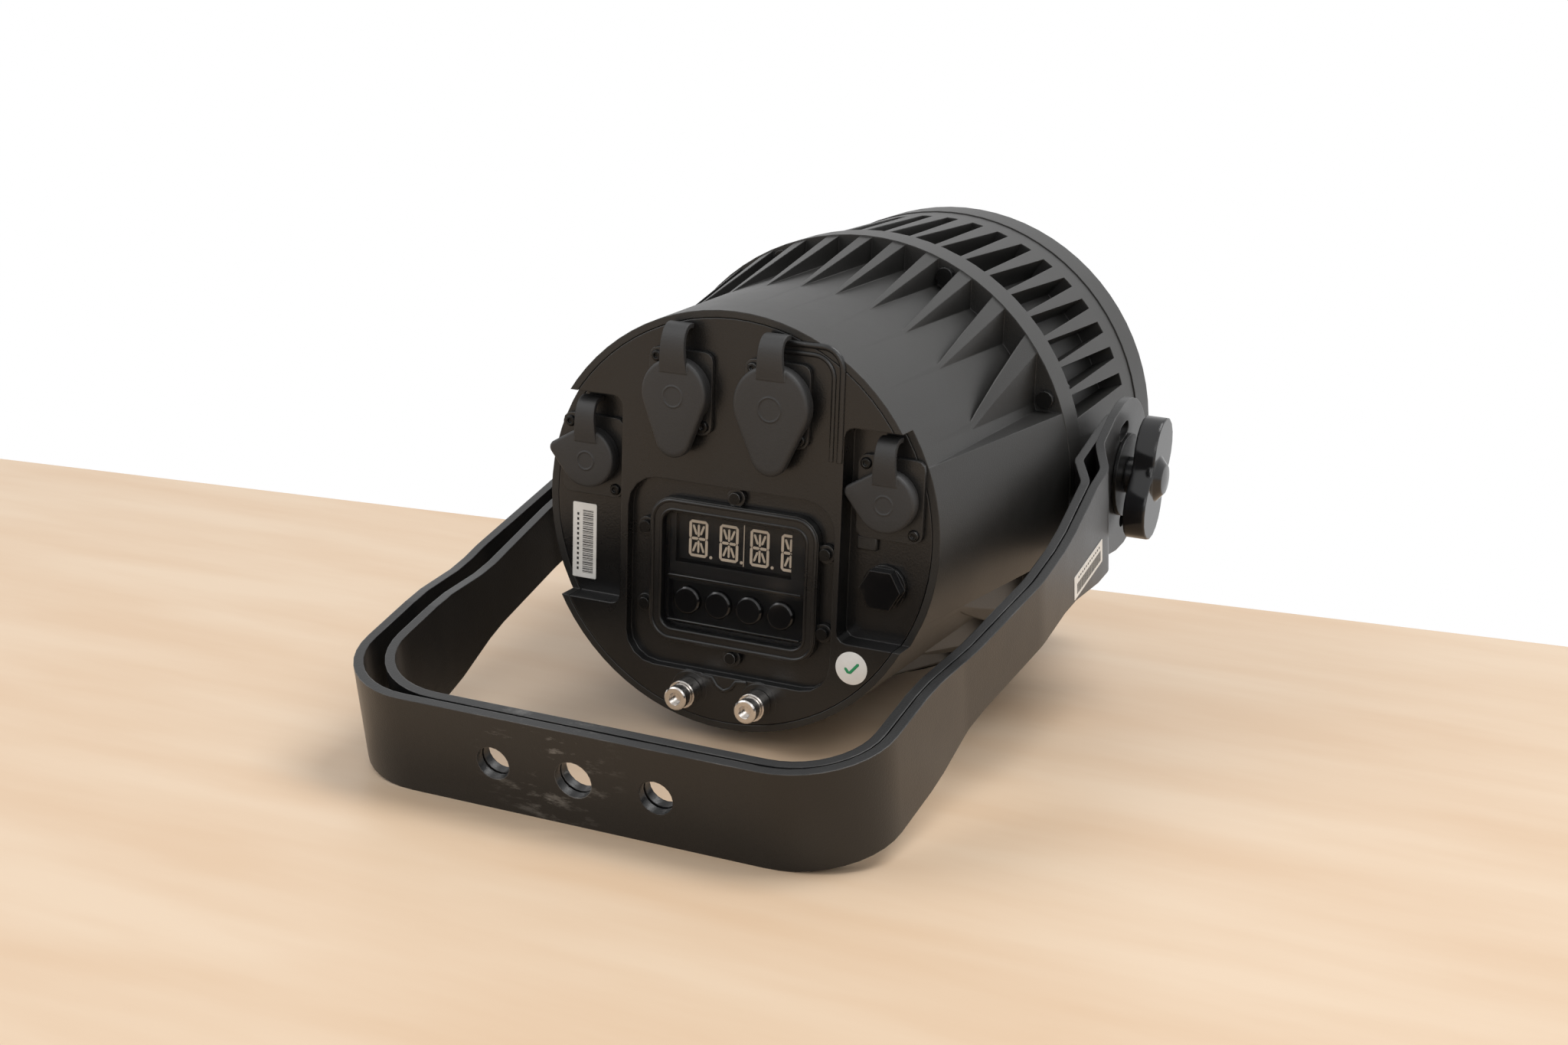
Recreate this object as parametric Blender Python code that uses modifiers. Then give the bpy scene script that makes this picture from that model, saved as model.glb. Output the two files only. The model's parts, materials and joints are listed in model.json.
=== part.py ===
"""LED par light with a finned die-cast body and a double yoke.

Every part of the head is modelled in the head's own axes: X to the side, Y up, and Z the depth
forward from the rear face, so that the lens looks along +Z. An empty turns those axes into the
world, where the lens looks along -Y and +Z is up. The light lies at rest on the rear edge of the
collar round its body and on the base bar of its folded yokes.
"""

import math

import bmesh
import bpy
from mathutils import Matrix, Vector

# Driving dimensions, in metres. Depths are measured forward from the rear face.
GAP = 0.0003  # clearance between pieces that touch
SIDES = 80  # facets round the large turned parts
SMALL_SIDES = 20
CREST_SIDES = 74  # unlike SIDES, so that no facet of the rib crests lies along one of the barrel
THIN_WALLED = ("rear_housing",)  # long thin facets, on which the EXACT solver leaves open edges

# Die-cast body
REAR_RADIUS = 0.0800
BARREL_RADIUS = 0.0820  # where the barrel meets the collar
COLLAR_RADIUS = 0.0926
COLLAR_DEPTH = 0.1195
COLLAR_WIDTH = 0.0157
WALL = 0.0026
FIN_RADIUS = 0.0915  # over the front fins, behind the bezel
SEAM_RADIUS = 0.0904
SEAM_DEPTH = 0.2160
BEZEL_RADIUS = 0.0909
BEZEL_WIDTH = 0.0183
LENS_RADIUS = 0.0740  # clear opening of the bezel
SPREADER_RADIUS = 0.0700
SPREADER_THICKNESS = 0.0030
LED_BOARD_RADIUS = 0.0680

# Rear ribs: upright plates that run from the barrel up to the collar
RIB_PITCH = 0.0145
RIBS_EACH_SIDE = 5
RIB_TIP_DEPTH = 0.0520
RIB_TIP_WIDTH = 0.0010
RIB_ROOT_WIDTH = 0.0054
FAIRING_HALF_HEIGHT = 0.0300  # smooth cheeks beside the pivots

# Front fins
FIN_STEP = 7.5  # degrees from fin to fin
FIN_CHEEK = 15.0  # degrees above and below the pivots that carry no fins
FIN_REAR_WIDTH = 1.3  # degrees
FIN_FRONT_WIDTH = 4.2  # degrees
SLOT_FLOOR_RADIUS = 0.0800
SLOT_END_DEPTH = 0.2020
FRONT_BORE_RADIUS = 0.0750
WEB_DEPTH = 0.1700
WEB_THICKNESS = 0.0060
CABLE_HOLE_RADIUS = 0.0100

# Collar screws, as places on the collar's rear wall
COLLAR_SCREWS = ((0.0356, 0.0799), (0.0804, 0.0352))
SCREW_RADIUS = 0.0020
SCREW_HEAD_RADIUS = 0.0036
SCREW_HEAD_HEIGHT = 0.0030

# Rear cap
CAP_THICKNESS = 0.0140
POCKET_DEPTH = 0.0090
POCKET_INNER_X = 0.0450
POCKET_TOP = 0.0430
POCKET_BOTTOM = -0.0380
RECESS_DEPTH = 0.0040
CAP_HOLLOW_DEPTH = 0.0080
SEAL_THICKNESS = 0.0020
SHOULDER_WIDTH = 0.0036  # inside the barrel, under the seal
SHOULDER_THICKNESS = 0.0030

# Display
DISPLAY_X = -0.0020
DISPLAY_Y = -0.0209
FRAME_HALF_WIDTH = 0.0345
FRAME_HALF_HEIGHT = 0.0280
FRAME_RIDGE = 0.0050
FRAME_EAR_RADIUS = 0.0036
FRAME_SCREW_RADIUS = 0.0012
FRAME_EARS = ((0, 1.11), (1.07, 0.54), (1.07, -0.54), (0, -1.11), (-1.07, -0.54), (-1.07, 0.54))
WINDOW_THICKNESS = 0.0017
BOARD_THICKNESS = 0.0016
DIGITS = 4
DIGIT_PITCH = 0.0127
DIGIT_HEIGHT = 0.0180
DIGIT_FACE_DEPTH = 0.0060
BUTTONS = 4
BUTTON_PITCH = 0.0129
BUTTON_RADIUS = 0.0054
BUTTON_STEM_RADIUS = 0.0030
BUTTON_Y = -0.0325
BUTTON_TRAVEL = 0.0010

# Connectors: side place, height, depth of the face they stand on, barrel radius
SOCKETS = {
    "power_in": (0.0200, 0.0485, 0.0, 0.0108),
    "power_out": (-0.0190, 0.0485, 0.0, 0.0126),
    "data_in": (0.0610, 0.0170, POCKET_DEPTH, 0.0092),
    "data_out": (-0.0610, 0.0170, POCKET_DEPTH, 0.0092),
}
FLANGE_HALF_WIDTH = 0.0130
FLANGE_HALF_HEIGHT = 0.0155
FLANGE_THICKNESS = 0.0020
SOCKET_RISE = 0.0018  # barrel above its flange
SOCKET_LENGTH = 0.0220  # barrel behind the face
SOCKET_WALL = 0.0019
SOCKET_BORE_DEPTH = 0.0160
PIN_BLOCK_RADIUS = 0.0045
PIN_BLOCK_DROP = 0.0070  # from the flange down to the top of the pin block
COVER_WALL = 0.0020
COVER_TOP = 0.0040
COVER_HINGE_ABOVE = 0.0235  # from the socket's centre up to its cover's hinge, on the rear face
POCKET_HINGE_ABOVE = 0.0210
STRAP_WIDTH = 0.0090
STRAP_THICKNESS = 0.0018
STRAP_ROOT_RADIUS = 0.0013

VENT_PLACE = (-0.0600, -0.0165)
VENT_RADIUS = 0.0085
VENT_STEM_RADIUS = 0.0057
HANGER_BOLT_X = 0.0145
HANGER_BOLT_Y = -0.0670
HANGER_BOLT_RADIUS = 0.0028
HANGER_HEAD_RADIUS = 0.0046
HANGER_HEAD_HEIGHT = 0.0052
SPACER_RADIUS = 0.0054
SPACER_LENGTH = 0.0062

# Yokes
PIVOT_DEPTH = 0.1550
STRAP_STEEL = 0.0035  # thickness of the yoke steel
BAR_HALF_WIDTH = 0.0187  # half the width of the base bar
ARM_HALF_WIDTH = 0.0130  # half the width of the narrow middle of the arms
KNEE_HALF_WIDTH = 0.0225  # half the width where the arms step in to their pivot plates
WAIST_START = 0.0950  # reach at which the arms are at their narrowest
WAIST_END = 0.1700
BAR_START = 0.2160
YOKE_REACH = 0.2754  # pivot to the outer yoke's outer face
YOKE_NEST = 0.0010  # gap between the two base bars
YOKE_DROP = 12.9  # degrees that the folded yokes hang below the lens axis
OUTER_PLATE_RADIUS = 0.0315
INNER_PLATE_RADIUS = 0.0240
KNEE_IN = 0.0260  # reach of the two bends that step the outer arms out from their plates
KNEE_OUT = 0.0410
KNEE_NEST = 0.0110  # how much later the inner right arm steps out
HOLE_PITCH = 0.0312
MIDDLE_HOLE_RADIUS = 0.0070
SIDE_HOLE_RADIUS = 0.00635
SLOT_OFFSET = 0.0195
SLOT_HALF_LENGTH = 0.0060
SLOT_HALF_WIDTH = 0.0032

# Pivot stack, outwards from the boss face
BOSS_RADIUS = 0.0155
BOSS_FACE = 0.0932
STUD_RADIUS = 0.0040
STUD_SEAT = 0.0075  # how far the stud goes into the boss
FRICTION_WASHER = 0.0015
MIDDLE_WASHER = 0.0010
OUTER_WASHER = 0.0015
INNER_WASHER_RADIUS = 0.0140
OUTER_WASHER_RADIUS = 0.0170
KNOB_HUB_RADIUS = 0.0075
KNOB_HUB_LENGTH = 0.0035
KNOB_WING_THICKNESS = 0.0090
KNOB_DOME = 0.0035
KNOB_DOME_RADIUS = 0.0100
KNOB_WAIST = 0.0095
KNOB_REACH = 0.0255
KNOB_TURN = 25.0  # degrees that the wings lean forward at rest

COLLAR_FRONT = COLLAR_DEPTH + COLLAR_WIDTH
FRONT_DEPTH = SEAM_DEPTH + GAP + BEZEL_WIDTH
BARREL_BORE = REAR_RADIUS - WALL
PLATE_INNER = BOSS_FACE + GAP + FRICTION_WASHER + GAP  # inner face of the inner yoke's plates
PLATE_OUTER = PLATE_INNER + STRAP_STEEL + GAP + MIDDLE_WASHER + GAP
KNOB_FACE = PLATE_OUTER + STRAP_STEEL + GAP + OUTER_WASHER + GAP


def clear_scene():
    for old in list(bpy.data.objects):
        bpy.data.objects.remove(old, do_unlink=True)


def make_collection(name):
    collection = bpy.data.collections.new(name)
    bpy.context.scene.collection.children.link(collection)
    return collection


clear_scene()
LIGHT = make_collection("par_light")
CUTTERS = make_collection("cutters")


def make_material(name, color, roughness, metallic=0.0, alpha=1.0):
    material = bpy.data.materials.new(name)
    material.use_nodes = True
    shader = material.node_tree.nodes["Principled BSDF"]
    shader.inputs["Base Color"].default_value = (*color, 1)
    shader.inputs["Roughness"].default_value = roughness
    shader.inputs["Metallic"].default_value = metallic
    shader.inputs["Alpha"].default_value = alpha
    return material


CASTING = make_material("charcoal_casting", (0.035, 0.034, 0.032), 0.55, 0.3)
GLOSS_CASTING = make_material("black_casting", (0.012, 0.012, 0.012), 0.3, 0.2)
YOKE_PAINT = make_material("yoke_powder_coat", (0.015, 0.015, 0.015), 0.5, 0.2)
RUBBER = make_material("cover_rubber", (0.03, 0.03, 0.03), 0.8)
SEALING = make_material("seal_rubber", (0.01, 0.01, 0.01), 0.7)
BLACK_PLASTIC = make_material("gloss_plastic", (0.01, 0.01, 0.01), 0.15)
STEEL = make_material("stainless", (0.6, 0.6, 0.58), 0.3, 1.0)
BLACK_STEEL = make_material("blackened_steel", (0.02, 0.02, 0.02), 0.4, 0.8)
BOARD = make_material("circuit_board", (0.02, 0.12, 0.05), 0.5)
CLEAR = make_material("clear_window", (0.1, 0.1, 0.1), 0.1, alpha=0.4)
ALUMINIUM = make_material("bare_aluminium", (0.7, 0.7, 0.7), 0.4, 1.0)
LENS = make_material("lens_glass", (0.8, 0.85, 0.85), 0.05, alpha=0.35)


def make_object(name, mesh, material, axes, collection=None):
    piece = bpy.data.objects.new(name, mesh)
    (collection or LIGHT).objects.link(piece)
    piece.parent = axes
    if material:
        mesh.materials.append(material)
    return piece


def make_axes(name, parent=None, location=(0, 0, 0), turn_x=0.0, turn_y=0.0):
    axes = bpy.data.objects.new(name, None)
    LIGHT.objects.link(axes)
    axes.parent = parent
    axes.location = location
    axes.rotation_euler = (math.radians(turn_x), math.radians(turn_y), 0)
    return axes


def turned(name, profile, material, axes, sides=SIDES, center=(0, 0), collection=None):
    """A profile of (radius, depth) points turned about the depth axis through center.

    The points run from the deepest end down the outside. A profile that never touches the axis
    is closed into a ring.
    """
    mesh = bpy.data.meshes.new(name)
    points = [(radius, 0, depth) for radius, depth in profile]
    edges = [(i, i + 1) for i in range(len(points) - 1)]
    hollow = min(radius for radius, depth in profile) > 0
    if hollow:
        edges.append((len(points) - 1, 0))
    mesh.from_pydata(points, edges, [])
    piece = make_object(name, mesh, material, axes, collection)
    piece.location = (*center, 0)
    screw = piece.modifiers.new("turn", "SCREW")
    screw.axis = "Z"
    screw.steps = screw.render_steps = sides
    screw.use_merge_vertices = True
    screw.merge_threshold = 0.00001
    screw.use_smooth_shade = False
    return piece


def disc(name, radius, near, far, material, axes, sides=SMALL_SIDES, center=(0, 0), bore=0.0):
    """A cylinder or, with a bore, a ring, from depth near to depth far."""
    profile = [(bore, far), (radius, far), (radius, near), (bore, near)]
    return turned(name, profile, material, axes, sides, center)


def slab(name, outline, near, far, material, axes, collection=None):
    """A flat outline in X and Y, extruded from depth near to depth far."""
    curve = bpy.data.curves.new(name, "CURVE")
    curve.dimensions = "2D"
    curve.fill_mode = "BOTH"
    curve.extrude = (far - near) / 2
    spline = curve.splines.new("POLY")
    spline.points.add(len(outline) - 1)
    for point, (x, y) in zip(spline.points, outline):
        point.co = (x, y, 0, 1)
    spline.use_cyclic_u = True
    rough = bpy.data.objects.new(name + "_outline", curve)
    CUTTERS.objects.link(rough)
    bpy.context.view_layer.update()
    evaluated = rough.evaluated_get(bpy.context.evaluated_depsgraph_get())
    mesh = bpy.data.meshes.new_from_object(evaluated)
    bpy.data.objects.remove(rough)
    bpy.data.curves.remove(curve)
    shape = bmesh.new()
    shape.from_mesh(mesh)
    bmesh.ops.remove_doubles(shape, verts=shape.verts, dist=0.000001)
    bmesh.ops.translate(shape, verts=shape.verts, vec=(0, 0, (near + far) / 2))
    bmesh.ops.recalc_face_normals(shape, faces=shape.faces)
    shape.to_mesh(mesh)
    shape.free()
    return make_object(name, mesh, material, axes, collection)


def block(name, low, high, material, axes, collection=None):
    """A box between two corners."""
    mesh = bpy.data.meshes.new(name)
    shape = bmesh.new()
    bmesh.ops.create_cube(shape, size=1.0)
    low = Vector(low)
    size = Vector(high) - low
    for vertex in shape.verts:
        vertex.co = low + Vector((0.5 + c) * s for c, s in zip(vertex.co, size))
    shape.to_mesh(mesh)
    shape.free()
    return make_object(name, mesh, material, axes, collection)


def shaped_cubes(name, placers, axes):
    """One cutter or tool mesh of cubes, each with its corners placed by a function of their signs."""
    mesh = bpy.data.meshes.new(name)
    shape = bmesh.new()
    for place in placers:
        for vertex in bmesh.ops.create_cube(shape, size=2.0)["verts"]:
            vertex.co = place(*vertex.co)
    bmesh.ops.recalc_face_normals(shape, faces=shape.faces)
    shape.to_mesh(mesh)
    shape.free()
    return make_object(name, mesh, None, axes, CUTTERS)


def rounded_box(center_x, center_y, half_x, half_y, radius, steps=4):
    """Outline of a rectangle with round corners."""
    points = []
    for sx, sy, start in ((1, 1, 0), (-1, 1, 90), (-1, -1, 180), (1, -1, 270)):
        corner_x = center_x + sx * (half_x - radius)
        corner_y = center_y + sy * (half_y - radius)
        for step in range(steps + 1):
            angle = math.radians(start + 90 * step / steps)
            points.append((corner_x + radius * math.cos(angle), corner_y + radius * math.sin(angle)))
    return points


def combine(piece, tool, operation):
    """Cuts, joins or intersects with a helper, which is then kept out of the render."""
    change = piece.modifiers.new(operation.lower(), "BOOLEAN")
    change.operation = operation
    change.solver = "MANIFOLD" if piece.name in THIN_WALLED else "EXACT"
    change.object = tool
    tool.hide_render = True
    tool.display_type = "WIRE"
    for collection in list(tool.users_collection):
        collection.objects.unlink(tool)
    CUTTERS.objects.link(tool)


def cut(piece, tool):
    combine(piece, tool, "DIFFERENCE")


def join(piece, tool):
    combine(piece, tool, "UNION")


head_axes = make_axes("head_axes")


# Rear housing: barrel, collar, cheeks and ribs


def rib_corner(place_x, upright):
    """Corners of one rib, narrow at its tip and wide at the collar."""

    def place(side, outer, end):
        width = RIB_ROOT_WIDTH if end > 0 else RIB_TIP_WIDTH
        depth = COLLAR_DEPTH + 0.0015 if end > 0 else RIB_TIP_DEPTH
        height = COLLAR_RADIUS + 0.01 if outer > 0 else FAIRING_HALF_HEIGHT - 0.0005
        return Vector((place_x + side * width / 2, upright * height, depth))

    return place


def make_rear_housing():
    shoulder = CAP_THICKNESS + 2 * GAP + SEAL_THICKNESS
    shoulder_radius = BARREL_BORE - SHOULDER_WIDTH
    housing = turned(
        "rear_housing",
        [
            (BARREL_BORE, COLLAR_FRONT),
            (COLLAR_RADIUS - 0.0005, COLLAR_FRONT),
            (COLLAR_RADIUS, COLLAR_FRONT - 0.0005),
            (COLLAR_RADIUS, COLLAR_DEPTH),
            (BARREL_RADIUS, COLLAR_DEPTH),
            (REAR_RADIUS, 0),
            (BARREL_BORE, 0),
            (BARREL_BORE, shoulder),
            (shoulder_radius, shoulder),
            (shoulder_radius, shoulder + SHOULDER_THICKNESS),
            (BARREL_BORE, shoulder + SHOULDER_THICKNESS),
        ],
        CASTING,
        head_axes,
    )
    cheeks = turned(
        "cheeks",
        [
            (BARREL_BORE + 0.0014, COLLAR_DEPTH + 0.0015),
            (COLLAR_RADIUS - 0.0001, COLLAR_DEPTH + 0.0015),
            (REAR_RADIUS - 0.0005, 0.0020),
            (BARREL_BORE + 0.0014, 0.0020),
        ],
        None,
        head_axes,
    )
    reach = 2 * COLLAR_RADIUS
    band = block(
        "cheek_band",
        (-reach, -FAIRING_HALF_HEIGHT, -0.01),
        (reach, FAIRING_HALF_HEIGHT, COLLAR_FRONT),
        None,
        head_axes,
    )
    combine(cheeks, band, "INTERSECT")
    join(housing, cheeks)
    places = [RIB_PITCH * k for k in range(-RIBS_EACH_SIDE, RIBS_EACH_SIDE + 1)]
    placers = [rib_corner(x, upright) for x in places for upright in (1, -1)]
    ribs = shaped_cubes("ribs", placers, head_axes)
    crests = turned(
        "rib_crests",
        [
            (BARREL_BORE + 0.0012, COLLAR_DEPTH + 0.0010),
            (COLLAR_RADIUS - 0.0004, COLLAR_DEPTH + 0.0010),
            (REAR_RADIUS + 0.0004, RIB_TIP_DEPTH + 0.0005),
            (BARREL_BORE + 0.0012, RIB_TIP_DEPTH + 0.0005),
        ],
        None,
        head_axes,
        CREST_SIDES,
    )
    combine(ribs, crests, "INTERSECT")
    join(housing, ribs)
    cut(housing, pocket_cutter("housing_pockets"))
    for number, (x, y) in enumerate(collar_screw_places(), 1):
        hole = disc(
            f"collar_hole_{number}",
            SCREW_RADIUS + GAP,
            COLLAR_DEPTH - 0.002,
            COLLAR_FRONT + 0.001,
            None,
            head_axes,
            12,
            (x, y),
        )
        cut(housing, hole)
    return housing


def collar_screw_places():
    return [(sx * x, sy * y) for x, y in COLLAR_SCREWS for sx in (1, -1) for sy in (1, -1)]


def pocket_cutter(name):
    """The two side pockets of the rear face, which also lower the barrel's rim beside them."""
    half_height = (POCKET_TOP - POCKET_BOTTOM) / 2
    middle = (POCKET_TOP + POCKET_BOTTOM) / 2
    half_width = REAR_RADIUS / 2
    left = slab(
        name,
        rounded_box(POCKET_INNER_X + half_width, middle, half_width, half_height, 0.004, 3),
        -0.010,
        POCKET_DEPTH,
        None,
        head_axes,
    )
    right = slab(
        name + "_right",
        rounded_box(-POCKET_INNER_X - half_width, middle, half_width, half_height, 0.004, 3),
        -0.010,
        POCKET_DEPTH,
        None,
        head_axes,
    )
    join(left, right)
    return left


def make_collar_screws():
    for number, (x, y) in enumerate(collar_screw_places(), 1):
        head = COLLAR_DEPTH - GAP
        turned(
            f"collar_screw_{number}",
            [
                (0, COLLAR_FRONT + 0.0080),
                (SCREW_RADIUS, COLLAR_FRONT + 0.0080),
                (SCREW_RADIUS, head),
                (SCREW_HEAD_RADIUS, head),
                (SCREW_HEAD_RADIUS, head - SCREW_HEAD_HEIGHT),
                (0, head - SCREW_HEAD_HEIGHT),
            ],
            BLACK_STEEL,
            head_axes,
            12,
            (x, y),
        )


# Front housing: fins, web and pivot bosses


def slot_corner(angle):
    """Corners of one slot between two fins: wide behind the collar, narrow at its front end."""

    def place(side, outer, end):
        at_front = end > 0
        open_angle = FIN_STEP - (FIN_FRONT_WIDTH if at_front else FIN_REAR_WIDTH)
        turn = math.radians(angle + side * open_angle / 2)
        radius = FIN_RADIUS + 0.004 if outer > 0 else SLOT_FLOOR_RADIUS
        depth = SLOT_END_DEPTH if at_front else COLLAR_FRONT - 0.001
        return Vector((radius * math.cos(turn), radius * math.sin(turn), depth))

    return place


def make_front_housing():
    rear = COLLAR_FRONT + GAP
    housing = turned(
        "front_housing",
        [
            (CABLE_HOLE_RADIUS, WEB_DEPTH + WEB_THICKNESS),
            (FRONT_BORE_RADIUS, WEB_DEPTH + WEB_THICKNESS),
            (FRONT_BORE_RADIUS, SEAM_DEPTH + 0.0060),
            (FRONT_BORE_RADIUS + 0.0045, SEAM_DEPTH + 0.0060),
            (FRONT_BORE_RADIUS + 0.0045, SEAM_DEPTH),
            (SEAM_RADIUS, SEAM_DEPTH),
            (FIN_RADIUS, rear),
            (BARREL_BORE, rear),
            (BARREL_BORE, WEB_DEPTH),
            (CABLE_HOLE_RADIUS, WEB_DEPTH),
        ],
        CASTING,
        head_axes,
    )
    count = round((180 - 2 * FIN_CHEEK) / FIN_STEP)
    angles = [FIN_CHEEK + FIN_STEP * (k + 0.5) for k in range(count)]
    placers = [slot_corner(angle + half) for half in (0, 180) for angle in angles]
    cut(housing, shaped_cubes("fin_slots", placers, head_axes))
    for side, name in ((1, "left"), (-1, "right")):
        axes = make_axes(f"boss_axes_{name}", head_axes, (0, 0, PIVOT_DEPTH), turn_y=90 * side)
        boss = disc(f"boss_{name}", BOSS_RADIUS, SLOT_FLOOR_RADIUS, BOSS_FACE, None, axes, 30)
        join(housing, boss)
        hole_end = BOSS_FACE - STUD_SEAT - GAP
        cut(housing, disc(f"boss_hole_{name}", STUD_RADIUS + GAP, hole_end, BOSS_FACE + 0.01, None, axes))
    for number, (x, y) in enumerate(collar_screw_places(), 1):
        hole = disc(
            f"front_hole_{number}",
            SCREW_RADIUS + GAP,
            COLLAR_FRONT - 0.001,
            COLLAR_FRONT + 0.0080 + GAP,
            None,
            head_axes,
            12,
            (x, y),
        )
        cut(housing, hole)
    return housing


def make_front_end():
    """Bezel, glass and its seal, and the optics behind them."""
    spigot = FRONT_BORE_RADIUS + 0.0045
    glass_near = SEAM_DEPTH + 0.0060 + GAP
    glass_far = glass_near + 0.0040
    seal_far = glass_far + GAP + 0.0010
    turned(
        "front_bezel",
        [
            (LENS_RADIUS, FRONT_DEPTH - 0.0020),
            (LENS_RADIUS + 0.0020, FRONT_DEPTH),
            (BEZEL_RADIUS - 0.0015, FRONT_DEPTH),
            (BEZEL_RADIUS, FRONT_DEPTH - 0.0015),
            (BEZEL_RADIUS, SEAM_DEPTH + GAP),
            (spigot + GAP, SEAM_DEPTH + GAP),
            (spigot + GAP, seal_far + GAP),
            (LENS_RADIUS, seal_far + GAP),
        ],
        CASTING,
        head_axes,
    )
    disc("front_glass", spigot, glass_near, glass_far, LENS, head_axes, 64)
    seal_bore = LENS_RADIUS + 0.0005
    disc("glass_seal", spigot, glass_far + GAP, seal_far, SEALING, head_axes, 48, bore=seal_bore)
    near = WEB_DEPTH + WEB_THICKNESS + GAP
    far = near + SPREADER_THICKNESS
    disc("heat_spreader", SPREADER_RADIUS, near, far, ALUMINIUM, head_axes, 32, bore=CABLE_HOLE_RADIUS)
    near = far + GAP
    far = near + BOARD_THICKNESS
    disc("led_board", LED_BOARD_RADIUS, near, far, BOARD, head_axes, 32, bore=CABLE_HOLE_RADIUS)
    optic_near = far + GAP
    turned(
        "lens_array",
        [
            (0, optic_near + 0.0220),
            (FRONT_BORE_RADIUS - GAP, optic_near + 0.0220),
            (FRONT_BORE_RADIUS - GAP, optic_near + 0.0170),
            (0.0640, optic_near + 0.0170),
            (0.0560, optic_near),
            (0, optic_near),
        ],
        LENS,
        head_axes,
        48,
    )


# Rear cap and what it carries


def make_rear_cap():
    cap = disc("rear_cap", BARREL_BORE - GAP, 0, CAP_THICKNESS, GLOSS_CASTING, head_axes, SIDES)
    cut(cap, pocket_cutter("cap_pockets"))
    recess = rounded_box(-0.0004, DISPLAY_Y - 0.0018, 0.0424, 0.0366, 0.012)
    cut(cap, slab("display_recess", recess, -0.005, RECESS_DEPTH, None, head_axes))
    opening_x = FRAME_HALF_WIDTH - FRAME_RIDGE - 0.0012
    opening_y = FRAME_HALF_HEIGHT - FRAME_RIDGE - 0.0012
    opening = rounded_box(DISPLAY_X, DISPLAY_Y, opening_x, opening_y, 0.004)
    cut(cap, slab("display_opening", opening, -0.005, CAP_THICKNESS + 0.005, None, head_axes))
    hollow = disc("cap_hollow", BARREL_BORE - 0.0044, CAP_HOLLOW_DEPTH, CAP_THICKNESS + 0.005, None, head_axes, 64)
    band = block("cap_hollow_band", (-0.0410, -0.1, 0), (0.0410, 0.1, 0.03), None, head_axes)
    combine(hollow, band, "INTERSECT")
    cut(cap, hollow)
    for name, (x, y, face, radius) in SOCKETS.items():
        cut(cap, disc(f"{name}_hole", radius + GAP, -0.005, 0.03, None, head_axes, SMALL_SIDES, (x, y)))
    cut(cap, disc("vent_hole", VENT_STEM_RADIUS + GAP, -0.005, 0.03, None, head_axes, 16, VENT_PLACE))
    for side, name in ((1, "left"), (-1, "right")):
        place = (side * HANGER_BOLT_X, HANGER_BOLT_Y)
        hole_radius = HANGER_BOLT_RADIUS + GAP
        cut(cap, disc(f"bolt_hole_{name}", hole_radius, -0.005, 0.03, None, head_axes, 16, place))
    for number, place in enumerate(frame_ear_places(), 1):
        hole_radius = FRAME_SCREW_RADIUS + GAP
        cut(cap, disc(f"frame_hole_{number}", hole_radius, -0.005, 0.03, None, head_axes, 12, place))
    near = CAP_THICKNESS + GAP
    far = near + SEAL_THICKNESS
    seal_bore = BARREL_BORE - SHOULDER_WIDTH
    disc("rear_cap_seal", BARREL_BORE - GAP, near, far, SEALING, head_axes, 48, bore=seal_bore)


def frame_ear_places():
    return [(DISPLAY_X + u * FRAME_HALF_WIDTH, DISPLAY_Y + v * FRAME_HALF_HEIGHT) for u, v in FRAME_EARS]


def button_places():
    first = DISPLAY_X - BUTTON_PITCH * (BUTTONS - 1) / 2
    return [(first + BUTTON_PITCH * k, BUTTON_Y) for k in range(BUTTONS)]


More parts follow.
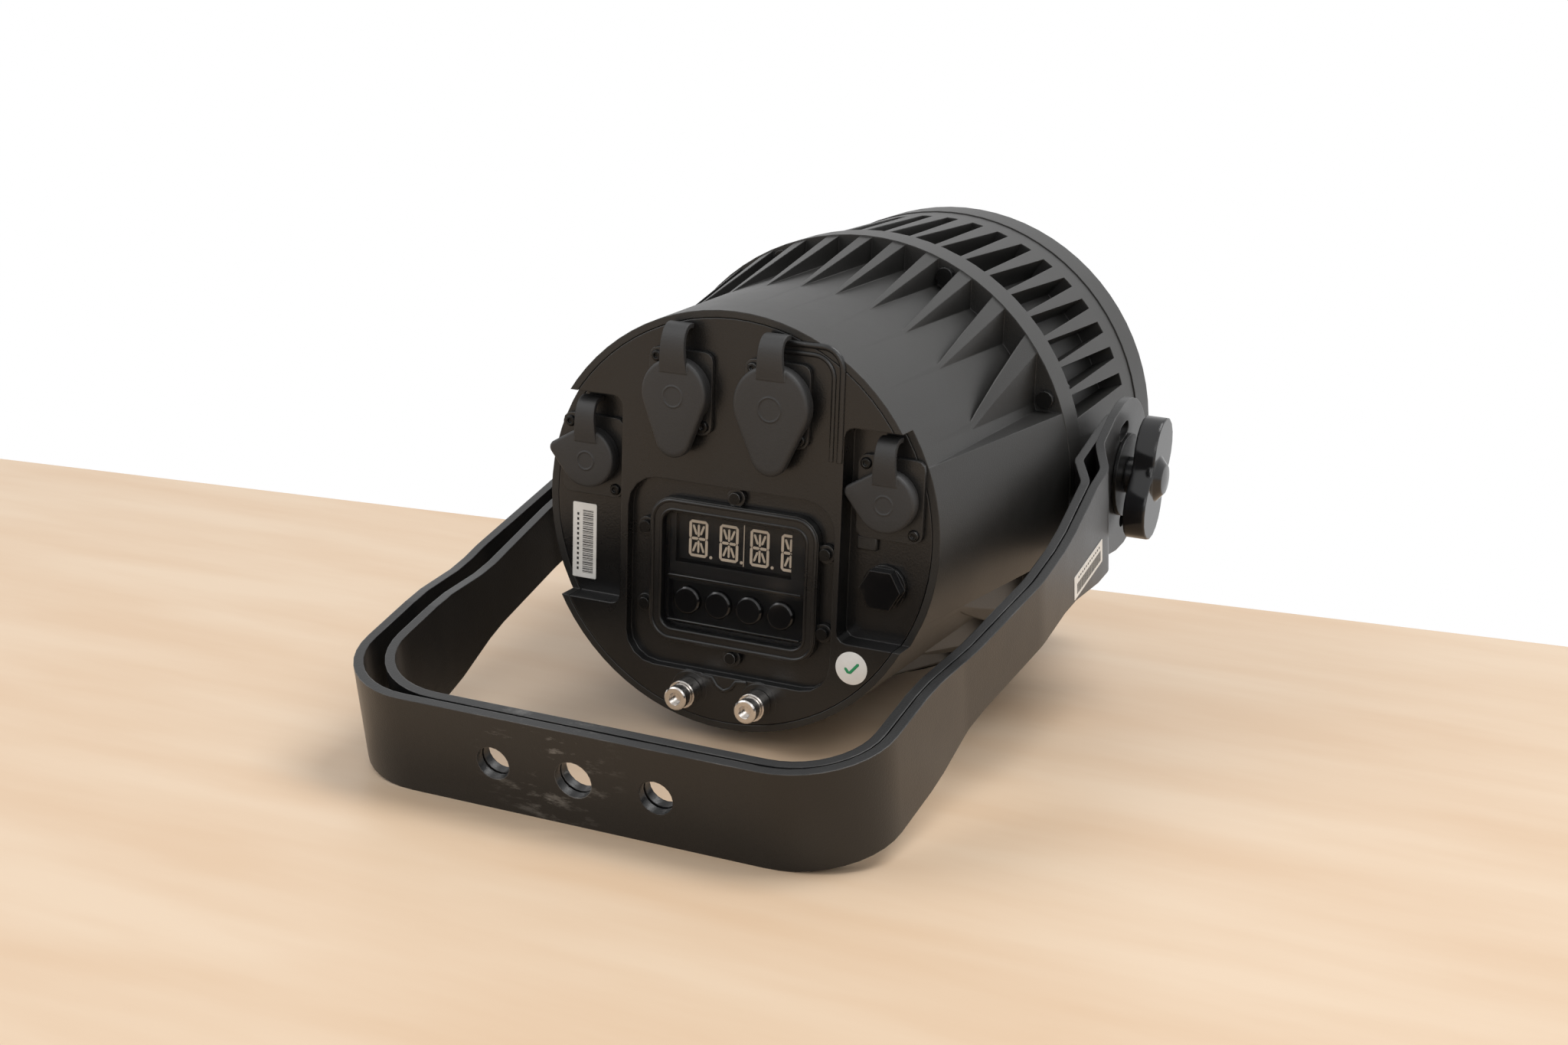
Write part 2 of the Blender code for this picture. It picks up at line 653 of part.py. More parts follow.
def make_display():
    floor = RECESS_DEPTH - GAP
    outer = rounded_box(DISPLAY_X, DISPLAY_Y, FRAME_HALF_WIDTH, FRAME_HALF_HEIGHT, 0.009)
    frame = slab("display_frame", outer, 0.0002, floor, GLOSS_CASTING, head_axes)
    ear_near = 0.0017
    for number, place in enumerate(frame_ear_places(), 1):
        ear = disc(f"ear_{number}", FRAME_EAR_RADIUS, ear_near, floor - 0.0001, None, head_axes, 16, place)
        join(frame, ear)
    inner_x = FRAME_HALF_WIDTH - FRAME_RIDGE
    inner_y = FRAME_HALF_HEIGHT - FRAME_RIDGE
    inside = rounded_box(DISPLAY_X, DISPLAY_Y, inner_x, inner_y, 0.005)
    cut(frame, slab("frame_inside", inside, -0.01, 0.01, None, head_axes))
    for number, place in enumerate(frame_ear_places(), 1):
        hole_radius = FRAME_SCREW_RADIUS + GAP
        cut(frame, disc(f"ear_hole_{number}", hole_radius, -0.01, 0.01, None, head_axes, 12, place))
        turned(
            f"frame_screw_{number}",
            [
                (0, RECESS_DEPTH + 0.0035),
                (FRAME_SCREW_RADIUS, RECESS_DEPTH + 0.0035),
                (FRAME_SCREW_RADIUS, ear_near - GAP),
                (0.0023, ear_near - GAP),
                (0.0023, 0.0002),
                (0, 0.0002),
            ],
            BLACK_STEEL,
            head_axes,
            12,
            place,
        )
    pane = rounded_box(DISPLAY_X, DISPLAY_Y, inner_x - GAP, inner_y - GAP, 0.005 - GAP)
    window = slab("display_window", pane, floor - WINDOW_THICKNESS, floor, CLEAR, head_axes)
    for number, place in enumerate(button_places(), 1):
        hole_radius = BUTTON_RADIUS + GAP
        hole = disc(f"button_hole_{number}", hole_radius, -0.01, 0.01, None, head_axes, center=place)
        cut(window, hole)
        foot = CAP_HOLLOW_DEPTH - BUTTON_TRAVEL - 0.0004
        face = floor - WINDOW_THICKNESS - 0.0008
        turned(
            f"button_{number}",
            [
                (0, foot),
                (BUTTON_STEM_RADIUS, foot),
                (BUTTON_STEM_RADIUS, floor),
                (BUTTON_RADIUS, floor),
                (BUTTON_RADIUS, face + 0.0006),
                (BUTTON_RADIUS - 0.0006, face),
                (0, face),
            ],
            BLACK_PLASTIC,
            head_axes,
            SMALL_SIDES,
            place,
        )
    near = CAP_HOLLOW_DEPTH + GAP
    board = block(
        "display_board",
        (DISPLAY_X - 0.0365, DISPLAY_Y - 0.0290, near),
        (DISPLAY_X + 0.0365, DISPLAY_Y + 0.0290, near + BOARD_THICKNESS),
        BOARD,
        head_axes,
    )
    half = DIGITS * DIGIT_PITCH / 2
    digits_y = DISPLAY_Y + 0.0122
    digits = block(
        "digit_block",
        (DISPLAY_X - half, digits_y - DIGIT_HEIGHT / 2, DIGIT_FACE_DEPTH),
        (DISPLAY_X + half, digits_y + DIGIT_HEIGHT / 2, near + BOARD_THICKNESS / 2),
        None,
        head_axes,
    )
    join(board, digits)


def make_connector(name, x, y, face, radius):
    """A round socket on a flange, and its rubber cover on a strap hinged above it."""
    under = face - GAP
    top = under - FLANGE_THICKNESS
    tip = top - SOCKET_RISE
    back = face + SOCKET_LENGTH
    bore = radius - SOCKET_WALL
    bottom = face + SOCKET_BORE_DEPTH
    socket = turned(
        f"{name}_socket",
        [
            (0, back),
            (radius, back),
            (radius, tip),
            (bore, tip),
            (bore, bottom),
            (PIN_BLOCK_RADIUS, bottom),
            (PIN_BLOCK_RADIUS, top + PIN_BLOCK_DROP),
            (0, top + PIN_BLOCK_DROP),
        ],
        BLACK_PLASTIC,
        head_axes,
        SMALL_SIDES,
        (x, y),
    )
    flange = slab(
        f"{name}_flange",
        rounded_box(x, y, FLANGE_HALF_WIDTH, FLANGE_HALF_HEIGHT, 0.0035, 3),
        top,
        under,
        None,
        head_axes,
    )
    hole = disc(f"{name}_flange_hole", radius - 0.0006, -0.05, 0.05, None, head_axes, center=(x, y))
    cut(flange, hole)
    join(socket, flange)

    above = POCKET_HINGE_ABOVE if face > 0 else COVER_HINGE_ABOVE
    hinge_depth = face - 0.0019
    hinge = make_axes(f"{name}_cover_axes", head_axes, (x, y + above, hinge_depth))
    cover_radius = radius + GAP + COVER_WALL
    rim = top - GAP - hinge_depth
    inside = tip - GAP - hinge_depth
    outside = inside - COVER_TOP
    cover = turned(
        f"{name}_cover",
        [
            (0, inside),
            (radius + GAP, inside),
            (radius + GAP, rim),
            (cover_radius, rim),
            (cover_radius, outside + 0.0008),
            (cover_radius - 0.0008, outside),
            (0, outside),
        ],
        RUBBER,
        hinge,
        SMALL_SIDES,
    )
    # The cover is turned about its own middle, but its origin stays on the hinge.
    cover.modifiers["turn"].object = make_axes(f"{name}_turning_axes", hinge, (0, -above, 0))
    for vertex in cover.data.vertices:
        vertex.co.y -= above
    root_axes = make_axes(f"{name}_root_axes", hinge, turn_y=90)
    half_width = STRAP_WIDTH / 2
    join(cover, disc(f"{name}_strap_root", STRAP_ROOT_RADIUS, -half_width, half_width, None, root_axes, 12))
    far_y = -above + cover_radius - 0.0030
    near_z = outside + 0.0004
    slope = math.atan2(-near_z, -far_y)

    def strap_corner(side, low, out):
        """Corners of the strap, from its root on the hinge to the edge of the cover's outer face."""
        half = out * STRAP_THICKNESS / 2
        y_place = half * math.sin(slope)
        z_place = -half * math.cos(slope)
        if low < 0:
            y_place += far_y
            z_place += near_z + STRAP_THICKNESS / 2
        return Vector((side * half_width * 0.98, y_place, z_place))

    strap = shaped_cubes(f"{name}_strap", [strap_corner], hinge)
    join(cover, strap)
    tail = slab(
        f"{name}_tail",
        rounded_box(0, -above - cover_radius - 0.0015, 0.0050, 0.0045, 0.0030, 3),
        outside + 0.0006,
        outside + 0.0026,
        None,
        hinge,
    )
    join(cover, tail)


def make_vent():
    under = POCKET_DEPTH - GAP
    stem = turned(
        "vent_plug",
        [
            (0, POCKET_DEPTH + 0.0090),
            (VENT_STEM_RADIUS, POCKET_DEPTH + 0.0090),
            (VENT_STEM_RADIUS, under),
            (VENT_RADIUS, under),
            (VENT_RADIUS, under - 0.0015),
            (0, under - 0.0015),
        ],
        BLACK_PLASTIC,
        head_axes,
        SMALL_SIDES,
        VENT_PLACE,
    )
    hex_radius = VENT_RADIUS - 0.0003
    join(stem, disc("vent_hex", hex_radius, under - 0.0060, under - 0.0010, None, head_axes, 6, VENT_PLACE))


def make_hanger_bolts():
    for side, name in ((1, "left"), (-1, "right")):
        place = (side * HANGER_BOLT_X, HANGER_BOLT_Y)
        disc(
            f"bolt_spacer_{name}",
            SPACER_RADIUS,
            -GAP - SPACER_LENGTH,
            -GAP,
            STEEL,
            head_axes,
            SMALL_SIDES,
            place,
            bore=HANGER_BOLT_RADIUS + GAP,
        )
        head = -SPACER_LENGTH - 2 * GAP
        top = head - HANGER_HEAD_HEIGHT
        turned(
            f"hanger_bolt_{name}",
            [
                (0, 0.0070),
                (HANGER_BOLT_RADIUS, 0.0070),
                (HANGER_BOLT_RADIUS, head),
                (HANGER_HEAD_RADIUS, head),
                (HANGER_HEAD_RADIUS, top + 0.0005),
                (HANGER_HEAD_RADIUS - 0.0005, top),
                (0.0024, top),
                (0.0024, top + 0.0025),
                (0, top + 0.0025),
            ],
            STEEL,
            head_axes,
            SMALL_SIDES,
            place,
        )


def make_inside():
    """Chassis plate with the power supply on it and the driver board under it."""
    near = CAP_THICKNESS + 2 * GAP + SEAL_THICKNESS + SHOULDER_THICKNESS + GAP
    far = WEB_DEPTH - GAP
    top = -0.0090
    under = top - 0.0030
    block("chassis_plate", (-0.0740, under, near), (0.0740, top, far), ALUMINIUM, head_axes)
    block("power_supply", (-0.0520, top + GAP, 0.0600), (0.0520, 0.0330, 0.1500), ALUMINIUM, head_axes)
    under -= GAP
    low = (-0.0480, under - BOARD_THICKNESS, 0.0500)
    board = block("driver_board", low, (0.0480, under, 0.1500), BOARD, head_axes)
    low = (-0.0400, under - 0.0180, 0.0600)
    join(board, block("driver_parts", low, (0.0400, under - BOARD_THICKNESS / 2, 0.1350), None, head_axes))


# Yokes and pivots


def rounded_path(corners):
    """A path through (x, y, radius) corners, each turned into an arc of its radius."""
    path = []
    for number, (x, y, radius) in enumerate(corners):
        here = Vector((x, y))
        if number in (0, len(corners) - 1):
            path.append(here)
            continue
        back = (Vector(corners[number - 1][:2]) - here).normalized()
        ahead = (Vector(corners[number + 1][:2]) - here).normalized()
        bend = math.pi - back.angle(ahead)
        reach = radius * math.tan(bend / 2)
        steps = max(2, round(math.degrees(bend) / 9))
        start = here + back * reach
        center = start + (ahead - back * ahead.dot(back)).normalized() * radius
        out = start - center
        turn = 1 if (-back).cross(ahead) > 0 else -1
        for step in range(steps + 1):
            path.append(center + Matrix.Rotation(turn * bend * step / steps, 2) @ out)
    return path


def ribbon_outline(path, thickness):
    """Both sides of a strip that follows a path."""
    sides = ([], [])
    for number, here in enumerate(path):
        before = (here - path[number - 1]).normalized() if number else None
        after = (path[number + 1] - here).normalized() if number + 1 < len(path) else None
        along = ((before or after) + (after or before)).normalized()
        normal = Vector((-along.y, along.x))
        stretch = 1 / normal.dot(Vector((-(after or before).y, (after or before).x)))
        for side, sign in zip(sides, (1, -1)):
            side.append(here + normal * sign * stretch * thickness / 2)
    return [tuple(point) for point in sides[0] + sides[1][::-1]]


def side_profile(reach, plate_radius):
    """Outline of a yoke seen from the side: a round plate, a knee, a narrow arm and the base bar."""
    knees = [
        (0, plate_radius),
        (KNEE_OUT, KNEE_HALF_WIDTH if plate_radius > KNEE_HALF_WIDTH else plate_radius),
        (WAIST_START, ARM_HALF_WIDTH),
        (WAIST_END, ARM_HALF_WIDTH),
        (BAR_START, BAR_HALF_WIDTH),
        (reach + 0.02, BAR_HALF_WIDTH),
    ]
    half = []
    for (start, width), (end, next_width) in zip(knees, knees[1:]):
        for step in range(4):
            share = step / 4
            blend = share * share * (3 - 2 * share)
            half.append((width + (next_width - width) * blend, start + (end - start) * share))
    half.append((BAR_HALF_WIDTH, reach + 0.02))
    nose = [math.pi * step / 16 for step in range(1, 16)]
    nose = [(-plate_radius * math.cos(angle), -plate_radius * math.sin(angle)) for angle in nose]
    return half[::-1] + [(-x, y) for x, y in nose] + [(-x, y) for x, y in half]


def make_yoke(name, reach, left, right, plate_x, plate_radius):
    """A bent strap. left and right are the (reach, offset, bend radius) knees of its outer face.

    It returns the axes in which the yoke's plates lie flat.
    """
    middle = STRAP_STEEL / 2
    tail = -plate_radius - 0.002
    corners = [(plate_x + middle, tail, 0)]
    corners += [(x - middle, y, radius) for y, x, radius in left]
    corners += [(-(x - middle), y, radius) for y, x, radius in reversed(right)]
    corners += [(-(plate_x + middle), tail, 0)]
    axes = make_axes(f"{name}_axes", head_axes, (0, 0, PIVOT_DEPTH), turn_x=-90 - YOKE_DROP)
    wide = plate_radius + 0.0050
    yoke = slab(name, ribbon_outline(rounded_path(corners), STRAP_STEEL), -wide, wide, YOKE_PAINT, axes)
    side_axes = make_axes(f"{name}_side_axes", axes, turn_y=-90)
    side_view = slab(f"{name}_side_view", side_profile(reach, plate_radius), -0.2, 0.2, None, side_axes)
    combine(yoke, side_view, "INTERSECT")
    bar_axes = make_axes(f"{name}_bar_axes", axes, turn_x=-90)
    holes = ((0, MIDDLE_HOLE_RADIUS), (HOLE_PITCH, SIDE_HOLE_RADIUS), (-HOLE_PITCH, SIDE_HOLE_RADIUS))
    for number, (x, radius) in enumerate(holes, 1):
        near = reach - 0.02
        far = reach + 0.02
        cut(yoke, disc(f"{name}_hole_{number}", radius, near, far, None, bar_axes, center=(x, 0)))
    cut(yoke, disc(f"{name}_pivot_hole", STUD_RADIUS + GAP, -0.2, 0.2, None, side_axes))
    return side_axes


def make_yokes():
    plate_out = PLATE_OUTER + STRAP_STEEL
    plate_in = PLATE_INNER + STRAP_STEEL
    reach = YOKE_REACH - STRAP_STEEL / 2
    right = [
        (KNEE_OUT, 0.1108, 0.010),
        (0.1200, 0.1110, 0.080),
        (0.1830, 0.1050, 0.080),
        (reach, 0.1035, 0.033),
    ]
    side_axes = make_yoke(
        "outer_yoke",
        YOKE_REACH,
        left=[
            (KNEE_IN, plate_out, 0.008),
            (KNEE_OUT, 0.1075, 0.010),
            (0.1600, 0.1064, 0.080),
            (0.2150, 0.1020, 0.080),
            (reach, 0.1000, 0.033),
        ],
        right=[(KNEE_IN, plate_out, 0.008)] + right,
        plate_x=PLATE_OUTER,
        plate_radius=OUTER_PLATE_RADIUS,
    )
    for number, sign in enumerate((1, -1), 1):
        slot = rounded_box(sign * SLOT_OFFSET, 0, SLOT_HALF_WIDTH, SLOT_HALF_LENGTH, SLOT_HALF_WIDTH * 0.98)
        cut(bpy.data.objects["outer_yoke"], slab(f"plate_slot_{number}", slot, -0.2, 0.2, None, side_axes))
    inner_reach = YOKE_REACH - STRAP_STEEL - YOKE_NEST
    reach = inner_reach - STRAP_STEEL / 2
    beside = STRAP_STEEL + 2 * GAP
    nested = [(y, x - beside, radius) for y, x, radius in right[1:-1]]
    make_yoke(
        "inner_yoke",
        inner_reach,
        left=[
            (KNEE_IN, plate_in, 0.020),
            (0.0750, 0.0990, 0.060),
            (0.1250, 0.0978, 0.080),
            (0.2150, 0.0920, 0.080),
            (reach, 0.0902, 0.034),
        ],
        right=[
            (KNEE_IN + KNEE_NEST, plate_in, 0.008),
            (KNEE_OUT + KNEE_NEST, 0.1108 - beside, 0.010),
            *nested,
            (reach, 0.1035 - beside, 0.033 - STRAP_STEEL - YOKE_NEST),
        ],
        plate_x=PLATE_INNER,
        plate_radius=INNER_PLATE_RADIUS,
    )


def wing_outline():
    """Two lobes opposite each other, narrow at the waist."""
    points = []
    for step in range(36):
        angle = math.radians(10 * step)
        radius = KNOB_WAIST + (KNOB_REACH - KNOB_WAIST) * abs(math.cos(angle)) ** 2.2
        points.append((radius * math.cos(angle), radius * math.sin(angle)))
    return points


def make_pivots():
    for side, name in ((1, "left"), (-1, "right")):
        axes = make_axes(f"pivot_axes_{name}", head_axes, (0, 0, PIVOT_DEPTH), turn_y=90 * side)
        bore = STUD_RADIUS + GAP
        near = BOSS_FACE + GAP
        far = near + FRICTION_WASHER
        disc(f"friction_washer_{name}", INNER_WASHER_RADIUS, near, far, SEALING, axes, 32, bore=bore)
        near = PLATE_INNER + STRAP_STEEL + GAP
        far = near + MIDDLE_WASHER
        disc(f"middle_washer_{name}", INNER_WASHER_RADIUS, near, far, SEALING, axes, 32, bore=bore)
        near = PLATE_OUTER + STRAP_STEEL + GAP
        far = near + OUTER_WASHER
        disc(f"outer_washer_{name}", OUTER_WASHER_RADIUS, near, far, BLACK_STEEL, axes, 32, bore=bore)
        wing_near = KNOB_FACE + KNOB_HUB_LENGTH
        wing_far = wing_near + KNOB_WING_THICKNESS
        stud_far = wing_near + 0.0080
        disc(f"pivot_stud_{name}", STUD_RADIUS, BOSS_FACE - STUD_SEAT, stud_far, STEEL, axes)
        knob_axes = make_axes(f"knob_axes_{name}", axes)
        knob_axes.rotation_euler = (0, 0, math.radians(90 + side * KNOB_TURN))
        knob = slab(f"knob_{name}", wing_outline(), wing_near, wing_far, BLACK_PLASTIC, knob_axes)
        bevel = knob.modifiers.new("round", "BEVEL")
        bevel.width = 0.0015
        bevel.segments = 1
        bevel.limit_method = "ANGLE"
        bevel.angle_limit = math.radians(50)
        core = turned(
            f"core_{name}",
            [
                (0, wing_far + KNOB_DOME),
                (KNOB_DOME_RADIUS * 0.6, wing_far + KNOB_DOME * 0.8),
                (KNOB_DOME_RADIUS, wing_far - 0.0006),
                (KNOB_DOME_RADIUS, wing_far - 0.0020),
                (KNOB_HUB_RADIUS, wing_near + 0.0010),
                (KNOB_HUB_RADIUS, KNOB_FACE),
                (0, KNOB_FACE),
            ],
            None,
            knob_axes,
            32,
        )
        join(knob, core)
        near = KNOB_FACE - 0.01
        cut(knob, disc(f"knob_bore_{name}", bore, near, stud_far + GAP, None, knob_axes))


def shade_round_pieces():
    for piece in LIGHT.objects:
        if piece.type == "MESH":
            piece.data.shade_smooth()
            piece.data.set_sharp_from_angle(angle=math.radians(30))


def stand_on_floor():
    """Tilts the light onto its collar and base bar, then puts the origin under the middle of its box."""
    drop = math.radians(YOKE_DROP)
    bar_depth = PIVOT_DEPTH - YOKE_REACH * math.cos(drop) + BAR_HALF_WIDTH * math.sin(drop)
    bar_height = -YOKE_REACH * math.sin(drop) - BAR_HALF_WIDTH * math.cos(drop)
    rest_tilt = math.atan2(-COLLAR_RADIUS - bar_height, COLLAR_DEPTH - bar_depth)
    head_axes.rotation_euler = (math.radians(90) + rest_tilt, 0, 0)
    bpy.context.view_layer.update()
    graph = bpy.context.evaluated_depsgraph_get()
    corners = []
    for piece in LIGHT.objects:
        if piece.type == "MESH":
            evaluated = piece.evaluated_get(graph)
            corners += [piece.matrix_world @ vertex.co for vertex in evaluated.data.vertices]
    low = Vector(min(corner[axis] for corner in corners) for axis in range(3))
    high = Vector(max(corner[axis] for corner in corners) for axis in range(3))
    head_axes.location = (-(low.x + high.x) / 2, -(low.y + high.y) / 2, -low.z)


make_rear_housing()
make_collar_screws()
make_front_housing()
make_front_end()
make_rear_cap()
make_display()
for connector, facts in SOCKETS.items():
    make_connector(connector, *facts)
make_vent()
make_hanger_bolts()
make_inside()
make_yokes()
make_pivots()
shade_round_pieces()
stand_on_floor()
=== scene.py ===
"""Looks of a sealed LED par light that lies on a pale bench with its two yokes folded back."""

import json
import math

import bmesh
import bpy
from mathutils import Matrix, Vector


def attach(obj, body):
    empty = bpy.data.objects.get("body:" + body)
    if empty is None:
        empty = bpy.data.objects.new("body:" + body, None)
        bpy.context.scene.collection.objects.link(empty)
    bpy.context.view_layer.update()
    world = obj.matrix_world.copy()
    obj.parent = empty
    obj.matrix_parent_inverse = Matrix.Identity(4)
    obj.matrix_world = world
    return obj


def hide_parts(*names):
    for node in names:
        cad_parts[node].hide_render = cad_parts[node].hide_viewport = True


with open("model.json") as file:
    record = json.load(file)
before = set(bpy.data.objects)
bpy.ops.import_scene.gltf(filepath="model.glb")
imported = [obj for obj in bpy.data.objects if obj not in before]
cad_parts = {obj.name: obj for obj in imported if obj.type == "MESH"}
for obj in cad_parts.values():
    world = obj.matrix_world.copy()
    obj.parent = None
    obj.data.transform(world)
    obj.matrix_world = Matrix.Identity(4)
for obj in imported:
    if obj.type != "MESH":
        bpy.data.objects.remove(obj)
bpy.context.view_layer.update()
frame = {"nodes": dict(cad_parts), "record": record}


# Bench and camera. The bench is a plain pale surface that ends behind the light, and the white beyond it
# comes from the world, as the camera and the reflections see it.

bench_edge = (Vector((0.559, -0.166, 0)), Vector((-0.265, -0.303, 0)))
bench_depth = 3.0
along = (bench_edge[1] - bench_edge[0]).normalized()
towards = Vector((along.y, -along.x, 0))
far_left = bench_edge[0] - along * bench_depth
far_right = bench_edge[1] + along * bench_depth
bench_mesh = bpy.data.meshes.new("bench")
corners = [far_left, far_right, far_right + towards * bench_depth, far_left + towards * bench_depth]
bench_mesh.from_pydata(corners, [], [(0, 1, 2, 3)])
bench = bpy.data.objects.new("bench", bench_mesh)
bpy.context.scene.collection.objects.link(bench)


def add_node(tree, kind, inputs=(), **settings):
    """A node with its settings and inputs. Each input is a constant, or another node's output to link."""
    node = tree.nodes.new(kind)
    for key, value in settings.items():
        setattr(node, key, value)
    for key, value in dict(inputs).items():
        if isinstance(value, bpy.types.NodeSocket):
            tree.links.new(value, node.inputs[key])
        else:
            node.inputs[key].default_value = value
    return node


def new_material(name, metallic=0.0, **constants):
    """A material with a Principled shader whose named inputs are set to constants."""
    made = bpy.data.materials.new(name)
    made.use_nodes = True
    shader = made.node_tree.nodes["Principled BSDF"]
    shader.inputs["Metallic"].default_value = metallic
    for key, value in constants.items():
        shader.inputs[key.replace("_", " ")].default_value = value
    return made, made.node_tree, shader


bench_paint, tree, shader = new_material("bench_surface", Roughness=0.5)
place = add_node(tree, "ShaderNodeTexCoord")
stretch = add_node(tree, "ShaderNodeMapping", {
    "Vector": place.outputs["Object"],
    "Scale": (3.0, 14.0, 1.0),
    "Rotation": (0, 0, math.radians(8)),
})
grain = add_node(tree, "ShaderNodeTexNoise", {"Vector": stretch.outputs["Vector"], "Scale": 1.6, "Detail": 8})
tint = add_node(tree, "ShaderNodeValToRGB", {"Fac": grain.outputs["Fac"]})
darker, paler = tint.color_ramp.elements
darker.position, darker.color = 0.35, (0.74, 0.535, 0.36, 1)
paler.position, paler.color = 0.65, (0.80, 0.62, 0.45, 1)
tree.links.new(tint.outputs["Color"], shader.inputs["Base Color"])
bench_mesh.materials.append(bench_paint)

camera_data = bpy.data.cameras.new("camera")
camera_data.lens = 54.49
camera_data.sensor_width = 36.0
camera_data.clip_start = 0.01
camera = bpy.data.objects.new("camera", camera_data)
bpy.context.scene.collection.objects.link(camera)
camera_place = (-0.3673, 0.8335, 0.2794)
azimuth = math.radians(-155.911)
elevation = math.radians(12.637)
roll = math.radians(3.384)
turn = Matrix.Rotation(azimuth, 4, "Z") @ Matrix.Rotation(math.radians(90) - elevation, 4, "X")
camera.matrix_world = Matrix.Translation(camera_place) @ turn @ Matrix.Rotation(roll, 4, "Z")
bpy.context.scene.camera = camera


# Light: one broad soft box above, a second beside the camera and a third behind for the top edge of the
# body. The world fills the shadows and shows white behind the bench.


def soft_box(name, place, size, power):
    """A square area light, size metres across, that points at the middle of the par light."""
    lamp = bpy.data.lights.new(name, "AREA")
    lamp.shape = "SQUARE"
    lamp.size = size
    lamp.energy = power
    holder = bpy.data.objects.new(name, lamp)
    bpy.context.scene.collection.objects.link(holder)
    holder.location = place
    target = Vector((0, 0, 0.08))
    holder.rotation_euler = (target - Vector(place)).to_track_quat("-Z", "Y").to_euler()


soft_box("key_light", (-0.7, -0.3, 1.7), 1.0, 19)
soft_box("side_light", (1.2, 0.9, 1.1), 1.2, 9)
soft_box("rear_light", (-0.8, 1.5, 0.9), 0.8, 7)


def add_math(tree, operation, *values, **settings):
    """The output of a Math node that works on constants or other nodes' outputs."""
    inputs = dict(enumerate(values))
    return add_node(tree, "ShaderNodeMath", inputs, operation=operation, **settings).outputs["Value"]


world = bpy.data.worlds.new("studio")
bpy.context.scene.world = world
world.use_nodes = True
tree = world.node_tree
fill = tree.nodes["Background"]
fill.inputs["Color"].default_value = (1.0, 0.99, 0.97, 1)
fill.inputs["Strength"].default_value = 0.42
seen = add_node(tree, "ShaderNodeBackground", {"Color": (1, 1, 1, 1)})
path = add_node(tree, "ShaderNodeLightPath").outputs
mirrored = add_math(tree, "MAXIMUM", path["Is Glossy Ray"], path["Is Transmission Ray"])
white = add_math(tree, "MAXIMUM", path["Is Camera Ray"], mirrored)
choose = add_node(tree, "ShaderNodeMixShader", {0: white, 1: fill.outputs[0], 2: seen.outputs[0]})
tree.links.new(choose.outputs[0], tree.nodes["World Output"].inputs["Surface"])
bpy.context.scene.view_settings.view_transform = "Standard"


# Castings: rear housing, front housing and bezel. Die-cast aluminium under a charcoal powder coat, with a
# fine grain, slightly rubbed on its sharp edges.


def make_coat_group():
    """Colour, roughness and normal of a coated or moulded surface, with grain, blotches and worn edges."""
    tree = bpy.data.node_groups.new("coated_surface", "ShaderNodeTree")
    for name in ("Color", "Worn Color"):
        tree.interface.new_socket(name, in_out="INPUT", socket_type="NodeSocketColor")
    for name in ("Roughness", "Blotches", "Grain Scale", "Grain Depth", "Wear", "Edge"):
        tree.interface.new_socket(name, in_out="INPUT", socket_type="NodeSocketFloat")
    for name, kind in (("Color", "Color"), ("Roughness", "Float"), ("Normal", "Vector")):
        tree.interface.new_socket(name, in_out="OUTPUT", socket_type=f"NodeSocket{kind}")
    given = add_node(tree, "NodeGroupInput").outputs
    place = add_node(tree, "ShaderNodeTexCoord").outputs["Object"]
    fine = add_node(tree, "ShaderNodeTexNoise", {"Vector": place, "Scale": given["Grain Scale"], "Detail": 3})
    broad = add_node(tree, "ShaderNodeTexNoise", {
        "Vector": place,
        "Scale": 28,
        "Detail": 6,
        "Roughness": 0.65,
    })

    rounded = add_node(tree, "ShaderNodeBevel", {"Radius": given["Edge"]}, samples=4)
    flat = add_node(tree, "ShaderNodeNewGeometry")
    likeness = add_node(tree, "ShaderNodeVectorMath", {
        0: rounded.outputs["Normal"],
        1: flat.outputs["Normal"],
    }, operation="DOT_PRODUCT")
    edge = add_node(tree, "ShaderNodeMapRange", {
        "Value": likeness.outputs["Value"],
        "From Min": 0.99,
        "From Max": 0.80,
    })
    patchy = add_node(tree, "ShaderNodeMapRange", {
        "Value": broad.outputs["Fac"],
        "From Min": 0.42,
        "From Max": 0.62,
    })
    worn = add_math(tree, "MULTIPLY", edge.outputs["Result"], patchy.outputs["Result"])
    amount = add_math(tree, "MULTIPLY", worn, given["Wear"])

    shade = add_node(tree, "ShaderNodeMapRange", {
        "Value": broad.outputs["Fac"],
        "From Min": 0.3,
        "From Max": 0.7,
        "To Min": 0.86,
        "To Max": 1.14,
    })
    toned = add_node(tree, "ShaderNodeVectorMath", {
        0: given["Color"],
        "Scale": shade.outputs["Result"],
    }, operation="SCALE")
    mixed = add_node(tree, "ShaderNodeMix", {
        "Factor": amount,
        6: toned.outputs["Vector"],
        7: given["Worn Color"],
    }, data_type="RGBA")
    spread = add_math(tree, "SUBTRACT", broad.outputs["Fac"], 0.5)
    rough = add_math(tree, "MULTIPLY_ADD", spread, given["Blotches"], given["Roughness"], use_clamp=True)
    bump = add_node(tree, "ShaderNodeBump", {
        "Strength": 0.6,
        "Distance": given["Grain Depth"],
        "Height": fine.outputs["Fac"],
        "Normal": rounded.outputs["Normal"],
    })
    add_node(tree, "NodeGroupOutput", {
        "Color": mixed.outputs[2],
        "Roughness": rough,
        "Normal": bump.outputs["Normal"],
    })
    return tree


coat_group = make_coat_group()


